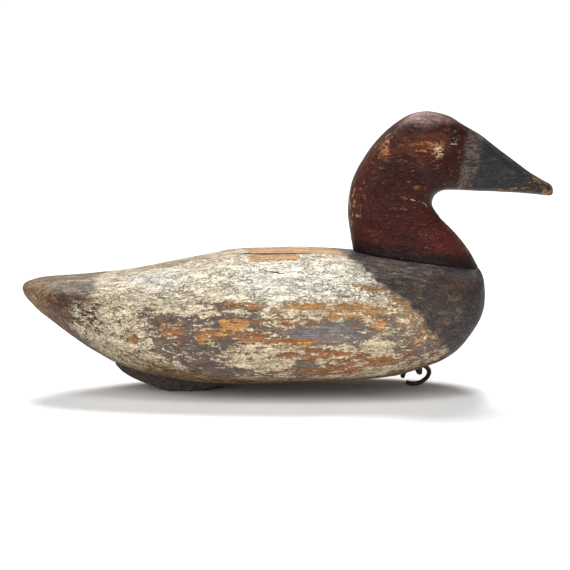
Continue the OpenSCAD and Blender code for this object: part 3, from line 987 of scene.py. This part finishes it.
def painted_wood(name, grain, chips, flecks, gloss, specular, relief):
    """Old paint on wood. grain, chips and flecks are the sizes of the wood's streaks and of the
    large and small chips in the paint, gloss is the roughness of the wood, the undercoat and the
    topcoat, and relief is the thickness of the paint in millimetres."""
    s = Shader(name)
    streaks = s.noise(grain, 6, 0.68)
    broad = s.noise(tuple(g * 5 for g in grain), 3, 0.5, 7)
    grit = s.noise((1.5, 0.9, 0.9), 2, 0.6, 71)
    dashes = (grain[0] * 0.4, grain[1] * 1.3, grain[2] * 1.3)

    def chance(shift):
        return s.sum(
            (0.4, s.noise(chips, 6, 0.68, shift)),
            (0.3, s.noise(flecks, 4, 0.65, shift + 5)),
            (0.3, s.noise(dashes, 4, 0.65, shift + 9)),
        )

    def spare(cover, value):
        """How far the noise is below the limit that leaves a share of the surface painted."""
        return s.sum((2 * NOISE_REACH, s.attribute(cover)), (1, 0.5 - NOISE_REACH), (-1, value))

    worn, flaked, soiled = chance(3), chance(23), chance(43)
    top_spare = spare("top_cover", flaked)
    under_on = s.step(spare("under_cover", worn), -CHIP_EDGE, CHIP_EDGE)
    top_on = s.step(top_spare, -CHIP_EDGE, CHIP_EDGE)
    # Crackle: fine crooked lines, and the edges of cells, both only here and there
    crazed = s.math(
        "MAXIMUM",
        s.line(s.noise((6, 2.6, 2.6), 3, 0.62, 41), 0.018),
        s.line(s.noise((3.4, 2.4, 2.4), 3, 0.62, 47), 0.014),
    )
    crazed = s.math("MULTIPLY", crazed, s.step(s.noise((12, 5, 5), 3, 0.6, 53), 0.4, 0.52))
    cells = s.math("SUBTRACT", 1.0, s.step(s.cells((4.6, 3, 3), 0.8), 0.02, 0.075))
    cells = s.math("MULTIPLY", cells, s.step(s.noise((10, 6, 6), 4, 0.65, 57), 0.47, 0.56))
    crazed = s.math("MAXIMUM", crazed, cells)
    crazed = s.math("MULTIPLY", crazed, s.attribute("crackle"))

    wood = s.shade(s.attribute("wood_tint", "Color"), streaks, 0.55, 1.3)
    wood = s.shade(wood, broad, 0.75, 1.2)
    under = s.shade(s.attribute("under_tint", "Color"), worn, 0.62, 1.35)
    under = s.mix(s.math("MULTIPLY", s.step(soiled, 0.53, 0.58), 0.6), under, wood)
    under = s.shade(under, streaks, 0.72, 1.25)
    top = s.attribute("top_tint", "Color")
    # Dirt lies in blotches over the topcoat, and thicker towards its chipped edges
    near_edge = s.math("SUBTRACT", 1.0, s.step(top_spare, 0.0, 0.05))
    dirt = s.math("MULTIPLY", s.step(soiled, 0.46, 0.6), s.sum((0.35, near_edge), (0.55, 1.0)))
    top = s.mix(dirt, top, s.attribute("dirt_tint", "Color"))
    top = s.shade(top, s.noise(flecks, 5, 0.75, 61), 0.72, 1.24)
    top = s.shade(top, s.noise(tuple(c * 2 for c in chips), 4, 0.6, 67), 0.88, 1.14)
    top = s.shade(top, streaks, 0.9, 1.1)
    colour = s.mix(under_on, wood, under)
    colour = s.mix(top_on, colour, top)
    colour = s.shade(colour, grit, 0.76, 1.24)
    crazed = s.math("MULTIPLY", crazed, s.sum((0.6, top_on), (0.4, 1.0)))
    colour = s.mix(s.math("MULTIPLY", crazed, 0.9), colour, s.attribute("crack_tint", "Color"))

    height = s.sum(
        (0.5, under_on), (0.8, top_on), (0.7, streaks), (-1.0, crazed), (0.4, grit), (0.8, flaked),
    )
    bare = s.math("SUBTRACT", 1.0, top_on)
    below = s.sum((gloss[1] - gloss[0], under_on), (1, gloss[0]))
    roughness = s.sum((1, s.math("MULTIPLY", bare, below)), (gloss[2], top_on))
    s.surface.inputs["Specular IOR Level"].default_value = specular
    return s.finish(colour, roughness, height, relief)


def old_metal(name, dark, pale, rust, roughness, pits):
    """Weathered metal: two shades and a rust, with pits of a size in millimetres."""
    s = Shader(name)
    mottle = s.noise((pits * 3,) * 3, 5, 0.6)
    fine = s.noise((pits,) * 3, 4, 0.65, 5)
    colour = s.mix(s.step(mottle, 0.4, 0.62), tuple(light(dark)), tuple(light(pale)))
    rusted = s.step(s.noise((pits * 2,) * 3, 5, 0.65, 9), 0.55, 0.66)
    colour = s.mix(rusted, colour, tuple(light(rust)))
    colour = s.shade(colour, fine, 0.75, 1.25)
    rough = s.math("ADD", roughness, s.math("MULTIPLY", s.math("SUBTRACT", fine, 0.5), 0.4))
    return s.finish(colour, rough, s.math("ADD", mottle, fine), pits * 0.15)


def bare_wood(name, tint):
    """Unpainted wood with upright grain."""
    s = Shader(name)
    streaks = s.noise((1.2, 1.2, 30), 5, 0.6)
    colour = s.shade(tuple(light(tint)), streaks, 0.6, 1.3)
    return s.finish(colour, 0.65, streaks, 0.1)


# ---------------------------------------------------------------- pieces


# Drying checks in the body: points along each, its width and depth, and the way out of the wood
DRYING_CHECKS = [
    (
        [(-46, -15, 103.3), (-28, -19, 104.2), (-12, -23, 104.3), (18, -24, 104.6)],
        3.4, 5, (0, -0.3, 1),
    ),
    ([(-17, -50, 95), (-10, -51, 94.8), (-2, -53, 93.4)], 1.6, 3, (0, -0.6, 0.8)),
    ([(-176, -31, 60), (-166, -31, 51), (-150, -27, 39)], 0.8, 4, (-0.3, -0.6, -0.7)),
    ([(-160, -40, 80), (-146, -43, 80)], 0.6, 2.5, (0, -0.5, 0.9)),
    ([(-70, 24, 99), (-20, 27, 104), (18, 26, 105)], 0.9, 4, (0, 0.2, 1)),
    ([(20, 73, 44), (60, 71, 42), (92, 63, 44)], 0.8, 4, (0, 1, -0.15)),
    ([(-40, 14, 10), (20, 16, 11.4), (70, 15, 14)], 0.9, 4, (0, 0, -1)),
]


def make_body():
    stations, around = 320, 264
    # Stations are bunched at the tail and the breast, where the surface turns quickly
    t = np.linspace(0, 1, stations)
    bunched = (1 - np.cos(np.pi * t)) / 2
    x = TAIL_END + (BREAST_END - TAIL_END) * (0.55 * t + 0.45 * bunched)
    angle = np.linspace(0, 2 * np.pi, around, endpoint=False)
    piece = skin("decoy_body", body_points(x, angle))
    p = points_of(piece)
    carve = 0.4 * lumps(p, (46, 24, 24), 21) + 0.16 * lumps(p, (17, 8, 8), 22)
    carve += 0.07 * lumps(p, (30, 2.6, 2.6), 23)
    # The carving fades out towards the tail's tip and the breast's end
    inside = 1 - ease(np.abs(p[:, 0] + 25.5), 164, 173)
    push(piece, carve * inside)

    cut(piece, [seat_block(37, 160, 40)])
    outside = BVHTree.FromObject(piece, bpy.context.evaluated_depsgraph_get())
    driven_in = ("head_dowel", "neck_nails", "weight_nails", "line_staple")
    tools = [cutter(node, HOLE_FIT) for node in driven_in]
    tools += [crack(*check) for check in DRYING_CHECKS]
    cut(piece, tools)
    paint_body(piece, depth_under(outside, piece))
    piece.data.materials.append(painted_wood(
        "body_paint", grain=(42, 1.5, 1.5), chips=(9, 4.2, 4.2), flecks=(2.6, 1.3, 1.3),
        gloss=(0.7, 0.65, 0.6), specular=0.18, relief=0.6,
    ))
    smooth_shade(piece)
    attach(piece, "decoy")
    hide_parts("body_block")


def make_head():
    steps, around = 13, 170
    u = np.linspace(0, len(HEAD_RIBS) - 1, (len(HEAD_RIBS) - 1) * steps + 1)
    angle = np.linspace(0, 2 * np.pi, around, endpoint=False)
    ribs = head_points(u, angle)
    # The neck starts under the shelf's plane, and is cut off along it further on
    below = ribs[0] - (0, 0, 2)
    piece = skin("decoy_head", np.concatenate([below[None], ribs]))
    p = points_of(piece)
    carve = 0.3 * lumps(p, (24, 16, 13), 31) + 0.14 * lumps(p, (9, 6, 6), 32)
    above = p[:, 2] - seat_z(p[:, 0])
    # A shallow groove along the join, and no carving at the bill's tip
    carve -= 0.5 * (1 - ease(above, 0.2, 1.6))
    carve *= 1 - ease(p[:, 0], 188, 197)
    push(piece, carve)
    tools = [seat_block(30, 170, -20)]
    tools += [cutter(node, HOLE_FIT) for node in ("head_dowel", "neck_nails")]
    cut(piece, tools)
    paint_head(piece)
    piece.data.materials.append(painted_wood(
        "head_paint", grain=(22, 1.1, 1.1), chips=(6, 3, 3), flecks=(2.2, 1.1, 1.1),
        gloss=(0.6, 0.4, 0.34), specular=0.16, relief=0.35,
    ))
    smooth_shade(piece)
    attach(piece, "decoy")
    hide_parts("head")


def make_weight():
    piece = copy_of("keel_weight", "ballast_weight")
    remesh(piece, 0.6, 6)
    p = points_of(piece)
    push(piece, 0.3 * lumps(p, (9, 7, 6), 71) + 0.15 * lumps(p, (3, 3, 3), 72))
    cut(piece, [cutter("weight_nails", HOLE_FIT)])
    lead = old_metal("lead", (36, 25, 22), (62, 44, 38), (104, 80, 66), 0.6, 1.1)
    piece.data.materials.append(lead)
    smooth_shade(piece)
    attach(piece, "decoy")
    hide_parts("ballast_weight")


# About what softening takes off a wire, in millimetres
WIRE_SHRINK = 0.14


def make_wire(name, node, body, material):
    """The ring or the staple: bent by hand from wire, and rusted."""
    piece = copy_of(name, node)
    remesh(piece, 0.3, 3)
    p = points_of(piece)
    push(piece, WIRE_SHRINK + 0.14 * lumps(p, (3.5, 3.5, 3.5), 81) + 0.07 * lumps(p, (1.1, 1.1, 1.1), 82))
    piece.data.materials.append(material)
    smooth_shade(piece)
    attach(piece, body)
    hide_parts(node)


def dress(node, material):
    """Gives a CAD node that stays a material."""
    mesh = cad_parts[node].data
    mesh.materials.clear()
    mesh.materials.append(material)


make_camera()
make_studio()
make_body()
make_head()
make_weight()
black_iron = old_metal("black_iron", (22, 20, 20), (46, 40, 36), (84, 60, 44), 0.45, 0.9)
make_wire("anchor_ring", "line_ring", "ring", black_iron)
rusty_iron = old_metal("rusty_iron", (60, 38, 28), (92, 58, 40), (120, 76, 48), 0.7, 0.8)
make_wire("anchor_staple", "line_staple", "decoy", rusty_iron)
nail_steel = old_metal("nail_steel", (50, 46, 44), (96, 90, 84), (110, 70, 46), 0.5, 0.9)
dress("neck_nails", nail_steel)
dress("weight_nails", nail_steel)
dress("head_dowel", bare_wood("bare_wood", (176, 132, 88)))
